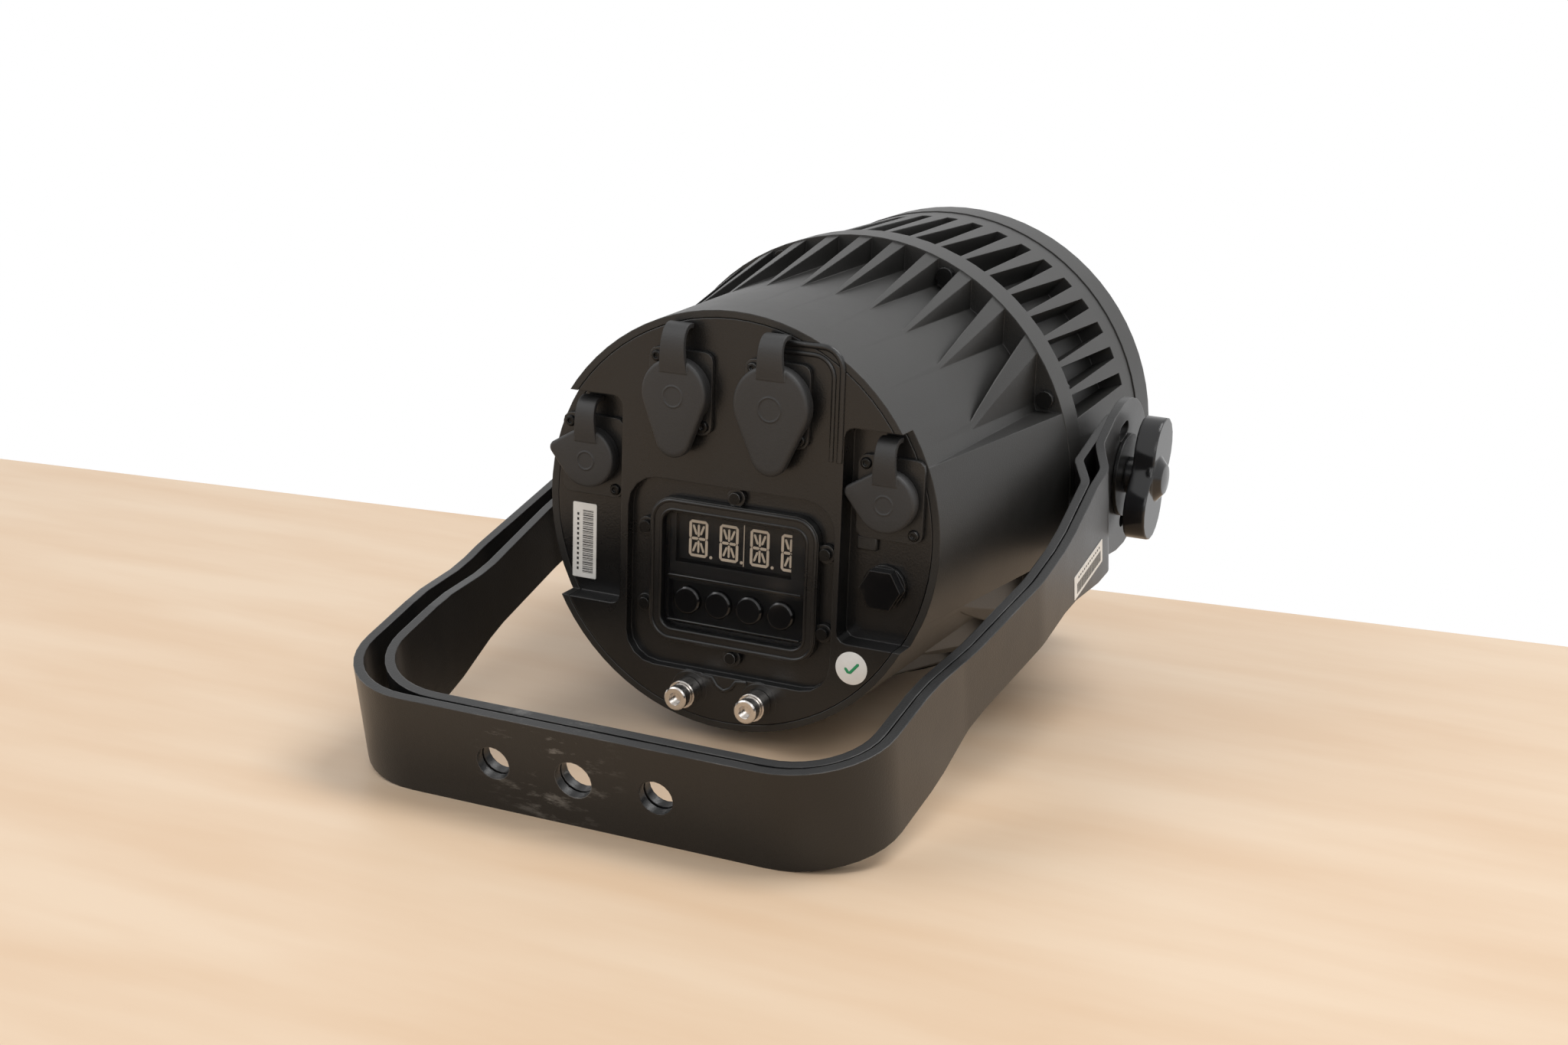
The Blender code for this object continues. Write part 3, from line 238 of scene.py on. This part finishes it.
def coated(name, color, roughness, worn=(0.3, 0.3, 0.3), blotches=0.2, grain=(1500, 0.0001), wear=0.5,
           edge=0.0005, metallic=0.0, **constants):
    """A material whose surface comes from the shared group. grain is its scale and its depth."""
    made, tree, shader = new_material(name, metallic, **constants)
    surface = add_node(tree, "ShaderNodeGroup", {
        "Color": (*color, 1),
        "Worn Color": (*worn, 1),
        "Roughness": roughness,
        "Blotches": blotches,
        "Grain Scale": grain[0],
        "Grain Depth": grain[1],
        "Wear": wear,
        "Edge": edge,
    }, node_tree=coat_group)
    for output, wanted in (("Color", "Base Color"), ("Roughness", "Roughness"), ("Normal", "Normal")):
        tree.links.new(surface.outputs[output], shader.inputs[wanted])
    return made


def make_smoothing():
    """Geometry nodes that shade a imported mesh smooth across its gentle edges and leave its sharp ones."""
    tree = bpy.data.node_groups.new("smooth_gentle_edges", "GeometryNodeTree")
    for way in ("INPUT", "OUTPUT"):
        tree.interface.new_socket("Geometry", in_out=way, socket_type="NodeSocketGeometry")
    given = add_node(tree, "NodeGroupInput")
    welded = add_node(tree, "GeometryNodeMergeByDistance", {
        "Geometry": given.outputs[0],
        "Distance": 0.000002,
    })
    plain = add_node(tree, "GeometryNodeRemoveAttribute", {
        "Geometry": welded.outputs["Geometry"],
        "Name": "custom_normal",
    })
    bend = add_node(tree, "GeometryNodeInputMeshEdgeAngle")
    gentle = add_node(tree, "FunctionNodeCompare", {
        "A": bend.outputs["Unsigned Angle"],
        "B": math.radians(24),
    }, operation="LESS_THAN")
    faces = add_node(tree, "GeometryNodeSetShadeSmooth", {
        "Geometry": plain.outputs["Geometry"],
    }, domain="FACE")
    edges = add_node(tree, "GeometryNodeSetShadeSmooth", {
        "Geometry": faces.outputs["Geometry"],
        "Shade Smooth": gentle.outputs["Result"],
    }, domain="EDGE")
    add_node(tree, "NodeGroupOutput", {0: edges.outputs["Geometry"]})
    return tree


smoothing = make_smoothing()


def dress(material, *names):
    """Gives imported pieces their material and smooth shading."""
    for name in names:
        node = frame["nodes"][name]
        node.modifiers.new("smoothing", "NODES").node_group = smoothing
        if not node.data.materials:
            node.data.materials.append(material)
        for index in range(len(node.data.materials)):
            node.data.materials[index] = material


casting = coated("charcoal_powder_coat", (0.019, 0.0185, 0.0175), 0.44, (0.16, 0.155, 0.15), 0.14,
                 (1900, 0.00012), 0.35, 0.0006, 0.25)
dress(casting, "rear_housing", "front_housing", "front_bezel")
collar_steel = coated("blackened_screws", (0.012, 0.012, 0.012), 0.32, metallic=0.7)
dress(collar_steel, *[f"collar_screw_{number}" for number in range(1, 9)])


# Front glass, its seal and the lens array. Clear toughened glass over a moulded plate of round lenses,
# each with its own rim, in two rings round a middle one.

joints = {joint["name"]: joint for joint in frame["record"]["behaviour"]["joints"]}
depth_axis = Vector(joints["button_1_press"]["axis"])
pivot = Vector(joints["outer_yoke_hinge"]["pos_m"])
pivot_depth = 0.155
up_axis = depth_axis.cross(Vector((1, 0, 0)))
rear_middle = pivot - depth_axis * pivot_depth
head = Matrix((Vector((1, 0, 0)), up_axis, depth_axis)).transposed().to_4x4()
head.translation = rear_middle


def add_piece(name, shape, material, body, axes=head, bevel=0.0, smooth=35):
    """Turns a bmesh drawn in the given axes into a piece that rides on a body."""
    bmesh.ops.recalc_face_normals(shape, faces=shape.faces)
    shape.transform(axes)
    mesh = bpy.data.meshes.new(name)
    shape.to_mesh(mesh)
    shape.free()
    mesh.materials.append(material)
    piece = bpy.data.objects.new(name, mesh)
    bpy.context.scene.collection.objects.link(piece)
    if bevel:
        softened = piece.modifiers.new("softened", "BEVEL")
        softened.width = bevel
        softened.segments = 2
        softened.angle_limit = math.radians(35)
    mesh.shade_smooth()
    mesh.set_sharp_from_angle(angle=math.radians(smooth))
    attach(piece, body)
    return piece


def circle(radius, count, first=0.0):
    """Places spread evenly round a circle. The first is at the angle first, in degrees."""
    angles = [math.radians(first + 360 * k / count) for k in range(count)]
    return [(radius * math.cos(angle), radius * math.sin(angle)) for angle in angles]


def join_rings(shape, rings, capped=False):
    """Fills the skin between neighbouring rings of corners. A ring of one corner is a tip."""
    for near, far in zip(rings, rings[1:]):
        for k in range(max(len(near), len(far))):
            ahead = k + 1
            quad = (near[k % len(near)], near[ahead % len(near)], far[ahead % len(far)], far[k % len(far)])
            shape.faces.new(list(dict.fromkeys(quad)))
    if capped:
        shape.faces.new(rings[0])
        shape.faces.new(rings[-1])


def turn_profile(shape, profile, center, sides=32):
    """Adds a profile of (radius, depth) points, turned about the depth axis through center."""
    rings = []
    for radius, depth in profile:
        ring = circle(radius, sides) if radius > 0 else [(0, 0)]
        rings.append([shape.verts.new((center[0] + x, center[1] + y, depth)) for x, y in ring])
    join_rings(shape, rings)


lens_front = 0.2035
lens_radius = 0.0118
dome_foot = lens_front + 0.0015
dome_height = 0.0070
rim = [(lens_radius + 0.0007, lens_front - 0.0005), (lens_radius + 0.0005, lens_front + 0.0020)]
dome = []
for step in range(6):
    slope = math.radians(15 * step)
    dome.append((lens_radius * math.cos(slope), dome_foot + dome_height * math.sin(slope)))
dome.append((0, dome_foot + dome_height))
lenses = bmesh.new()
for place in ((0, 0), *circle(0.0255, 6), *circle(0.0510, 12, 15)):
    turn_profile(lenses, rim + dome, place, 28)
lens_clear = coated("clear_acrylic", (0.75, 0.78, 0.78), 0.06, wear=0, grain=(300, 0.00001),
                    Transmission_Weight=0.5, IOR=1.49)
add_piece("lens_domes", lenses, lens_clear, "head")
dress(lens_clear, "lens_array")
glass = coated("front_glass_clear", (0.9, 0.95, 0.95), 0.03, wear=0, grain=(40, 0.00001), Alpha=0.18)
dress(glass, "front_glass")
seal = coated("seal_rubber_black", (0.012, 0.012, 0.012), 0.7, blotches=0.1, wear=0)
dress(seal, "glass_seal", "rear_cap_seal", "friction_washer_left", "friction_washer_right",
      "middle_washer_left", "middle_washer_right")


# Inside: heat spreader, LED board, chassis plate, power supply and boards. Sheet aluminium and green
# circuit boards, screwed down in the order of the light's depth.

sheet = coated("mill_aluminium", (0.62, 0.62, 0.63), 0.35, (0.8, 0.8, 0.8), grain=(600, 0.00005),
               metallic=1.0)
dress(sheet, "heat_spreader", "chassis_plate", "power_supply")
board = coated("green_solder_mask", (0.010, 0.085, 0.035), 0.35, (0.4, 0.3, 0.1), grain=(900, 0.00005))
dress(board, "led_board", "driver_board")


# Rear cap: a satin black casting with a raised middle and two side pockets. Rounded beads run round the
# right-hand power socket, cast in one with the cap.

satin = coated("satin_black_casting", (0.0060, 0.0060, 0.0062), 0.30, (0.10, 0.10, 0.10), 0.22,
               (1300, 0.00008), 0.3, 0.0007)
dress(satin, "rear_cap", "display_frame")


def add_tube(shape, points, radius, closed=False, sides=8):
    """Adds a round tube along points that lie in one plane of constant depth."""
    rings = []
    count = len(points)
    for k, here in enumerate(points):
        before = points[k - 1] if k or closed else here
        after = points[(k + 1) % count] if k + 1 < count or closed else here
        ahead = (Vector(after) - Vector(before)).normalized()
        side = Vector((-ahead.y, ahead.x, 0))
        ring = [Vector(here) + side * x + Vector((0, 0, y)) for x, y in circle(radius, sides)]
        rings.append([shape.verts.new(point) for point in ring])
    if closed:
        join_rings(shape, rings + rings[:1])
    else:
        join_rings(shape, rings, capped=True)


def round_corners(middle, half, radius, depth, steps=8, corners=(0, 1, 2, 3)):
    """Points of a rectangle's round corners, anticlockwise from the upper left as seen from behind."""
    points = []
    for corner in corners:
        sx, sy = ((1, 1), (-1, 1), (-1, -1), (1, -1))[corner]
        for step in range(steps + 1):
            angle = math.radians(90 * corner + 90 * step / steps)
            x = middle[0] + sx * (half[0] - radius) + radius * math.cos(angle)
            y = middle[1] + sy * (half[1] - radius) + radius * math.sin(angle)
            points.append((x, y, depth))
    return points


# Each socket's middle, the depth of the face it stands on, and the radius of its mouth.
socket_places = {
    "power_in": (0.0200, 0.0485, 0.0, 0.0108),
    "power_out": (-0.0190, 0.0485, 0.0, 0.0126),
    "data_in": (0.0610, 0.0170, 0.0090, 0.0092),
    "data_out": (-0.0610, 0.0170, 0.0090, 0.0092),
}
bead_depth = 0.0002
bolt_side, bolt_up = 0.0145, -0.0670
beads = bmesh.new()
out_x, out_y = socket_places["power_out"][:2]
for reach, thick in ((0.0215, 0.0013), (0.0182, 0.0010)):
    corner = round_corners((out_x - 0.0030, out_y - 0.0030), (reach, reach + 0.0040), 0.0080, bead_depth,
                           corners=(1,))
    start = (out_x + reach - 0.0140, corner[0][1], bead_depth)
    end = (corner[-1][0], out_y - 0.0190, bead_depth)
    add_tube(beads, [start, *corner, end], thick)
for side in (1, -1):
    lip = [(side * x, y, bead_depth) for x, y in
           ((0.0095, -0.0600), (0.0050, -0.0605), (0.0030, -0.0635), (0, -0.0650))]
    add_tube(beads, lip, 0.0009)
add_piece("cap_beads", beads, satin, "head", smooth=60)
pads = bmesh.new()
for side in (1, -1):
    turn_profile(pads, [(0, -0.0001), (0.0074, -0.0001), (0.0080, 0.0006)], (side * bolt_side, bolt_up), 28)
add_piece("bolt_pads", pads, satin, "head")


# Display: a beaded frame with six screws round a smoked window. Under the window a mask leaves a slot in
# which four unlit fourteen-segment digits show with a faint painted glow that stands in for light, and a step
# parts them from the buttons.

display_middle = (-0.0020, -0.0209)
frame_beads = bmesh.new()
for half, radius, thick in (((0.0334, 0.0269), 0.0082, 0.0008), ((0.0300, 0.0235), 0.0054, 0.0006)):
    add_tube(frame_beads, round_corners(display_middle, half, radius, 0.0003), thick, True)
add_piece("frame_beads", frame_beads, satin, "head", smooth=60)

smoked = coated("smoked_window", (0.010, 0.010, 0.011), 0.10, wear=0, blotches=0.1, grain=(60, 0.00001),
                Alpha=0.2)
dress(smoked, "display_window")
dark_board = coated("black_display_board", (0.006, 0.006, 0.006), 0.55, wear=0)
dress(dark_board, "display_board")
dress(collar_steel, *[f"frame_screw_{number}" for number in range(1, 7)])


def add_plate(shape, outline, near, far):
    """Adds a flat outline, extruded from depth near to depth far."""
    rings = [[shape.verts.new((x, y, depth)) for x, y in outline] for depth in (near, far)]
    join_rings(shape, rings, capped=True)


def add_block(shape, low, high):
    """Adds an upright block between two opposite corners."""
    outline = [(low[0], low[1]), (high[0], low[1]), (high[0], high[1]), (low[0], high[1])]
    add_plate(shape, outline, low[2], high[2])


step_left, step_right, step_near, step_far = 0.0255, -0.0295, 0.0013, 0.0021
window_step = bmesh.new()
for bottom, top in ((-0.0240, -0.0228), (-0.0412, -0.0404)):
    add_block(window_step, (step_right, bottom, step_near), (step_left, top, step_far))
moulded = coated("gloss_moulded_plastic", (0.006, 0.006, 0.0065), 0.10, (0.05, 0.05, 0.05), 0.12,
                 (500, 0.00002), 0.2, 0.0005)
add_piece("window_step", window_step, moulded, "head", bevel=0.0003)

mask_left, mask_right, mask_top, mask_bottom = 0.0260, -0.0300, 0.0020, -0.0260
slot_left, slot_right, slot_top, slot_bottom = 0.0235, -0.0243, 0.0005, -0.0185
mask_near, mask_far = 0.0040, 0.0043
mask = bmesh.new()
for right, left, bottom, top in (
    (mask_right, mask_left, slot_top, mask_top),
    (mask_right, mask_left, mask_bottom, slot_bottom),
    (mask_right, slot_right, slot_bottom, slot_top),
    (slot_left, mask_left, slot_bottom, slot_top),
):
    add_block(mask, (right, bottom, mask_near), (left, top, mask_far))
add_piece("display_mask", mask, dark_board, "head")


def add_segment(shape, start, end, thick, near, far):
    """Adds one bar of a digit, with pointed ends."""
    start = Vector(start)
    end = Vector(end)
    ahead = (end - start).normalized()
    side = Vector((-ahead.y, ahead.x)) * thick / 2
    tip = ahead * thick / 2
    outline = [start, start + tip + side, end - tip + side, end, end - tip - side, start + tip - side]
    add_plate(shape, [tuple(point) for point in outline], near, far)


digits = bmesh.new()
first_digit = 0.0150
digit_pitch = 0.0127
digit_y, half_width, half_height, bar = -0.0090, 0.0034, 0.0066, 0.00105
near, far = 0.0057, 0.0059
for number in range(4):
    x = first_digit - digit_pitch * number
    for side in (1, -1):
        outer = x + side * half_width
        for level in (1, -1):
            tall = digit_y + level * half_height
            add_segment(digits, (outer, digit_y), (outer, tall), bar, near, far)
            inner_end = (x + side * 0.0008, digit_y + level * 0.0014)
            outer_end = (x + side * (half_width - 0.0011), tall - level * 0.0013)
            add_segment(digits, inner_end, outer_end, bar * 0.8, near, far)
        add_segment(digits, (x, digit_y), (outer - side * 0.0004, digit_y), bar, near, far)
    for level in (1, -1):
        tall = digit_y + level * half_height
        add_segment(digits, (x - half_width, tall), (x + half_width, tall), bar, near, far)
        add_segment(digits, (x, digit_y + level * 0.0006), (x, tall - level * 0.0010), bar * 0.8, near, far)
    point = (x - half_width - 0.0019, digit_y - half_height)
    turn_profile(digits, [(0, near), (0.0006, near), (0.0006, far)], point, 12)
add_block(digits, (-0.00405, digit_y - 0.0080, near), (-0.00375, digit_y + 0.0080, far))
# The segments get a faint emission: a painted glow that makes the unlit digits read brighter behind the
# smoked window.
painted_glow = coated("painted_glow_segments", (0.72, 0.60, 0.47), 0.5, blotches=0.3, wear=0, grain=(2500, 0.00003),
               Emission_Color=(0.72, 0.60, 0.47, 1), Emission_Strength=0.25)
add_piece("digit_segments", digits, painted_glow, "head")
dress(moulded, *[f"button_{number}" for number in range(1, 5)])


# Sockets and their rubber covers. Each socket is a black moulding on a flange with two screws, and its
# cover is a soft teardrop lid with a raised ring, on a strap that loops over from above the flange.

socket_plastic = coated("socket_plastic", (0.010, 0.010, 0.010), 0.34, wear=0.1)
dress(socket_plastic, *[f"{name}_socket" for name in socket_places])
tab = bmesh.new()
add_block(tab, (-0.0565, -0.0035, 0.0070), (-0.0485, 0.0020, 0.0092))
add_piece("pocket_tab", tab, casting, "head", bevel=0.0006)
flange_screws = bmesh.new()
for x, y, face, radius in socket_places.values():
    top = face - 0.0023
    head_profile = [(0, top - 0.0002), (0.0009, top - 0.0002), (0.0010, top - 0.0011),
                    (0.0018, top - 0.0010), (0.0022, top - 0.0004), (0.0022, top + 0.0003)]
    for way in (1, -1):
        turn_profile(flange_screws, head_profile, (x + way * 0.0098, y + way * 0.0122), 20)
add_piece("flange_screws", flange_screws, collar_steel, "head")


def teardrop(radius, tail_angle, tail_reach, tail_radius, steps=48):
    """Outline round a circle at the origin and a smaller one at tail_reach from it."""
    lean = math.acos((radius - tail_radius) / tail_reach)
    points = []
    for k in range(steps + 1):
        angle = tail_angle + lean + (2 * math.pi - 2 * lean) * k / steps
        points.append((radius * math.cos(angle), radius * math.sin(angle)))
    for k in range(13):
        angle = tail_angle - lean + 2 * lean * k / 12
        points.append((tail_reach * math.cos(tail_angle) + tail_radius * math.cos(angle),
                       tail_reach * math.sin(tail_angle) + tail_radius * math.sin(angle)))
    return points


def add_strap(shape, middle, half, curve, steps=14):
    """Adds a flat strap along a Bezier curve of (height, depth) points, a little wider at its start."""
    sections = []
    for k in range(steps + 1):
        done = k / steps
        left = 1 - done
        here = (curve[0] * left ** 3 + curve[1] * 3 * done * left ** 2 + curve[2] * 3 * done ** 2 * left
                + curve[3] * done ** 3)
        ahead = ((curve[1] - curve[0]) * left ** 2 + (curve[2] - curve[1]) * 2 * done * left
                 + (curve[3] - curve[2]) * done ** 2)
        out = Vector((ahead.y, -ahead.x)).normalized() * 0.0009
        wide = half * (1 + 0.25 * left ** 3)
        section = [(middle + across * wide, here.x + face * out.x, here.y + face * out.y)
                   for across, face in ((1, 1), (-1, 1), (-1, -1), (1, -1))]
        sections.append([shape.verts.new(point) for point in section])
    join_rings(shape, sections, capped=True)


rubber = coated("cover_rubber_soft", (0.019, 0.019, 0.0195), 0.55, (0.07, 0.07, 0.07), 0.12, (1100, 0.0001),
                0.5, 0.0008)
lid_overlap = 0.0023
lid_height = 0.0084
for name, (x, y, face, radius) in socket_places.items():
    power = face == 0
    lid = radius + lid_overlap
    outside = face - lid_height
    cover = bmesh.new()
    skirt = [(lid - 0.0021, face - 0.0026), (lid - 0.0002, face - 0.0026), (lid - 0.0006, outside + 0.003)]
    turn_profile(cover, skirt, (x, y), 40)
    tail_angle = math.radians(-90 if power else 10)
    outline = teardrop(lid, tail_angle, lid + (0.0040 if power else 0.0020), 0.0070 if power else 0.0026)
    rise = [(1.0, 0.0034), (1.0, 0.0012), (0.985, 0.0005), (0.95, 0.0001), (0.90, 0.0), (0.50, -0.0001)]
    join_rings(cover, [[cover.verts.new((x + u * share, y + v * share, outside + up)) for u, v in outline]
                       for share, up in rise], capped=True)
    raised_ring = [(x + u, y - 0.001 + v, outside - 0.0001) for u, v in circle(lid * 0.30, 24)]
    add_tube(cover, raised_ring, 0.0003, True, 6)
    hinge = y + (0.0235 if power else 0.0210)
    loop = [Vector((y + lid - 0.0050, outside + 0.0006)), Vector((y + lid + 0.0050, outside - 0.0018)),
            Vector((hinge + 0.0030, outside - 0.0005)), Vector((hinge + 0.0012, face - 0.0012))]
    add_strap(cover, x, 0.0045 if power else 0.0038, loop)
    made = add_piece(f"{name}_lid", cover, rubber, f"{name}_cover", smooth=45)
    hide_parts(f"{name}_cover")


# Vent plug and hanger bolts. The vent is a black plastic hexagon in the right-hand pocket, and the bolts
# are bright stainless socket screws on stand-offs.

dress(moulded, "vent_plug")
bright = coated("bright_stainless", (0.66, 0.63, 0.60), 0.20, (0.9, 0.9, 0.9), 0.25, (700, 0.00004),
                0.3, 0.0005, 1.0)
dress(bright, "hanger_bolt_left", "hanger_bolt_right", "bolt_spacer_left", "bolt_spacer_right",
      "pivot_stud_left", "pivot_stud_right")


# Labels: plain white paper stickers with dark bars, one in the left-hand pocket and one on the yoke's
# right arm, and a small round one with a green tick on the cap. None of them carries words.

paper = coated("white_paper", (0.80, 0.80, 0.78), 0.55, blotches=0.1, wear=0, grain=(900, 0.00002))
ink = coated("label_ink", (0.02, 0.02, 0.02), 0.5, wear=0)
green = coated("label_green", (0.02, 0.30, 0.12), 0.5, wear=0)


def add_label(name, size, axes, body):
    """A white label whose bars run across it. Its axes have X along it, Y across it and -Z out of it."""
    length, width = size
    paper_back, ink_back, ink_front = -0.00012, -0.00010, -0.00016
    sticker = bmesh.new()
    corners = round_corners((0, 0), (length / 2, width / 2), 0.0006, 0, 3)
    add_plate(sticker, [(x, y) for x, y, depth in corners], paper_back, 0.0)
    add_piece(name, sticker, paper, body, axes)
    marks = bmesh.new()
    start = -length * 0.43
    number = 0
    while start < length * 0.40:
        wide = (0.35, 0.8, 0.5, 1.1, 0.3, 0.6)[number % 6] * length * 0.012
        add_block(marks, (start, -width * 0.08, ink_front), (start + wide, width * 0.36, ink_back))
        start += wide + (0.5, 0.35, 0.9, 0.4)[number % 4] * length * 0.014
        number += 1
    for k in range(12):
        start = -length * 0.40 + k * length * 0.066
        add_block(marks, (start, -width * 0.32, ink_front), (start + length * 0.035, -width * 0.24, ink_back))
    add_piece(f"{name}_bars", marks, ink, body, axes)


upright = Matrix.Rotation(math.radians(90), 4, "Z")
pocket_label = head @ Matrix.Translation((0.0655, -0.0180, 0.0089)) @ upright
add_label("pocket_label", (0.0300, 0.0104), pocket_label, "head")
sticker = bmesh.new()
turn_profile(sticker, [(0, -0.00015), (0.0061, -0.00015), (0.0063, -0.00005)], (-0.0516, -0.0468), 40)
add_piece("round_sticker", sticker, paper, "head")
tick = bmesh.new()
for start, end in (((-0.0490, -0.0468), (-0.0508, -0.0490)), ((-0.0508, -0.0490), (-0.0546, -0.0446))):
    add_segment(tick, start, end, 0.0011, -0.00021, -0.00014)
add_piece("sticker_tick", tick, green, "head")


# Yokes: bent steel straps under a black powder coat. The coat is rubbed pale along the edges and smeared
# round the holes of the base bars, where clamps have turned.

yoke_reach = 0.2754
drop = math.radians(12.9)
reach_axis = -depth_axis * math.cos(drop) - up_axis * math.sin(drop)
across_axis = up_axis * math.cos(drop) - depth_axis * math.sin(drop)
yoke_paint = coated("yoke_powder_coat_black", (0.0055, 0.0055, 0.0056), 0.33, (0.26, 0.255, 0.25), 0.2,
                    (1500, 0.0001), 0.65, 0.0006)
tree = yoke_paint.node_tree
shader = tree.nodes["Principled BSDF"]
coat_color = shader.inputs["Base Color"].links[0].from_socket
place = add_node(tree, "ShaderNodeTexCoord").outputs["Object"]
gap = add_node(tree, "ShaderNodeVectorMath", {
    0: place,
    1: pivot + reach_axis * yoke_reach + Vector((0.010, 0, 0)) + across_axis * 0.004,
}, operation="DISTANCE")
near_hole = add_node(tree, "ShaderNodeMapRange", {
    "Value": gap.outputs["Value"],
    "From Min": 0.032,
    "From Max": 0.010,
})
smear_place = add_node(tree, "ShaderNodeMapping", {
    "Vector": place,
    "Scale": (60, 60, 190),
    "Rotation": (0.3, 0.5, 0),
})
smear = add_node(tree, "ShaderNodeTexNoise", {
    "Vector": smear_place.outputs["Vector"],
    "Scale": 1.0,
    "Detail": 7,
    "Roughness": 0.7,
})
streaks = add_node(tree, "ShaderNodeMapRange", {
    "Value": smear.outputs["Fac"],
    "From Min": 0.54,
    "From Max": 0.74,
    "To Max": 0.55,
})
paled = add_node(tree, "ShaderNodeMix", {
    "Factor": add_math(tree, "MULTIPLY", near_hole.outputs["Result"], streaks.outputs["Result"]),
    6: coat_color,
    7: (0.42, 0.41, 0.39, 1),
}, data_type="RGBA")
tree.links.new(paled.outputs[2], shader.inputs["Base Color"])
dress(yoke_paint, "outer_yoke", "inner_yoke")
arm_face = 0.1109
arm_label = Matrix((reach_axis, -across_axis, Vector((1, 0, 0)))).transposed().to_4x4()
arm_label.translation = pivot + reach_axis * 0.067 - across_axis * 0.0085 - Vector((arm_face, 0, 0))
add_label("arm_label", (0.0340, 0.0100), arm_label, "outer_yoke")


# Pivots: gloss black wing knobs on stainless studs, with a blackened washer under each.

knob_plastic = coated("gloss_knob_plastic", (0.007, 0.007, 0.008), 0.12, (0.06, 0.06, 0.06), 0.1,
                      (300, 0.00002), 0.2, 0.0012)
dress(knob_plastic, "knob_left", "knob_right")
dress(collar_steel, "outer_washer_left", "outer_washer_right")
